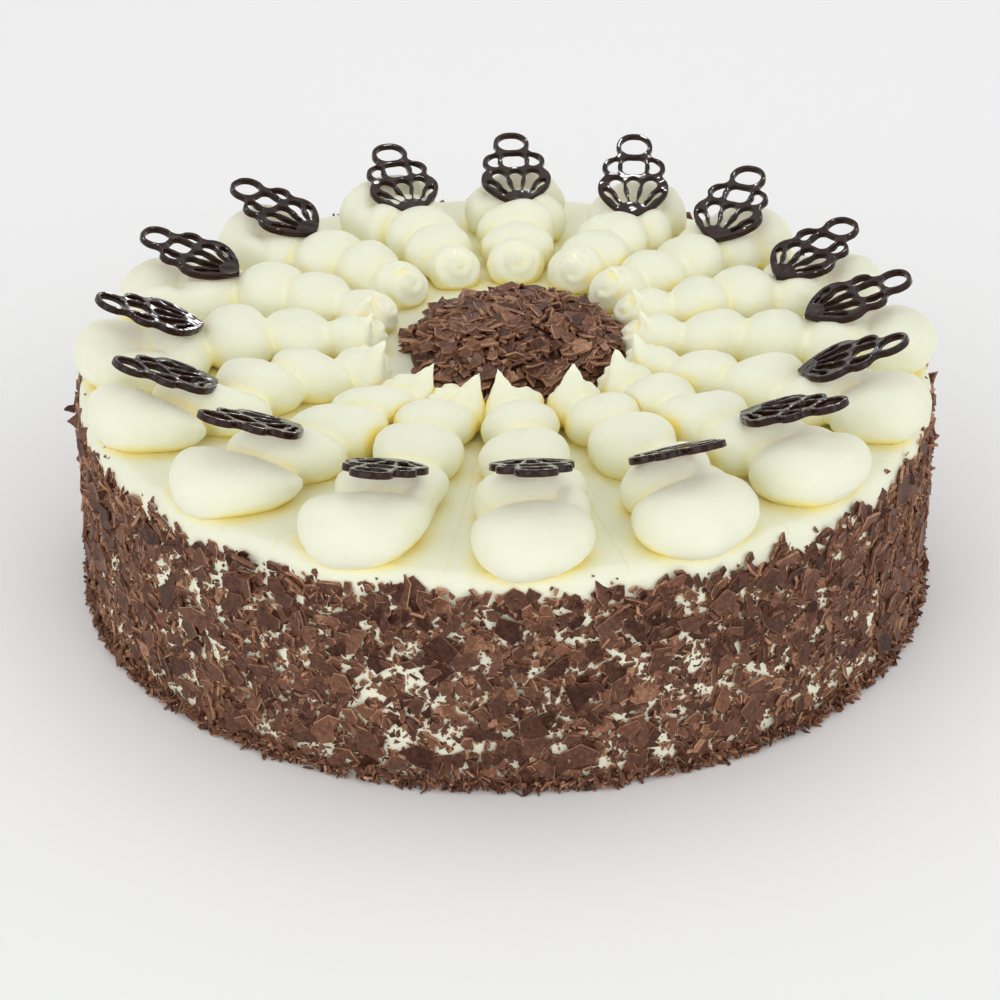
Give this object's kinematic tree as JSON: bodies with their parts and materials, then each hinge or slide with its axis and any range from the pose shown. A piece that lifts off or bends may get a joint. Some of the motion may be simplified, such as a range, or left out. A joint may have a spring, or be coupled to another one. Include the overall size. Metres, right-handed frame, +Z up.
{
  "type": "chocolate torte",
  "caption": "Whole round cream torte with chocolate flakes on its side, piped cream ropes, a flake heap in the middle and a chocolate filigree on every rope.",
  "frame": {"origin": "centre of the cake's flat underside", "axes": "+Z up out of the cream top, -Y towards the side that faces the camera in the picture, +X to the picture's right"},
  "size_m": [0.2778, 0.2793, 0.1048],
  "materials": {
    "cream": "soft satin, pale ivory whipped cream",
    "flake_chocolate": "matt, broken dark milk chocolate",
    "filigree_chocolate": "glossy, moulded dark chocolate"
  },
  "bodies": {
    "root": {"cake_body": "cream", "cream_rope_01": "cream", "cream_rope_02": "cream", "cream_rope_03": "cream", "cream_rope_04": "cream", "cream_rope_05": "cream", "cream_rope_06": "cream", "cream_rope_07": "cream", "cream_rope_08": "cream", "cream_rope_09": "cream", "cream_rope_10": "cream", "cream_rope_11": "cream", "cream_rope_12": "cream", "cream_rope_13": "cream", "cream_rope_14": "cream", "cream_rope_15": "cream", "cream_rope_16": "cream", "filigree_01": "filigree_chocolate", "filigree_02": "filigree_chocolate", "filigree_03": "filigree_chocolate", "filigree_04": "filigree_chocolate", "filigree_05": "filigree_chocolate", "filigree_06": "filigree_chocolate", "filigree_07": "filigree_chocolate", "filigree_08": "filigree_chocolate", "filigree_09": "filigree_chocolate", "filigree_10": "filigree_chocolate", "filigree_11": "filigree_chocolate", "filigree_12": "filigree_chocolate", "filigree_13": "filigree_chocolate", "filigree_14": "filigree_chocolate", "filigree_15": "filigree_chocolate", "filigree_16": "filigree_chocolate", "flake_heap": "flake_chocolate"}
  },
  "joints": []
}
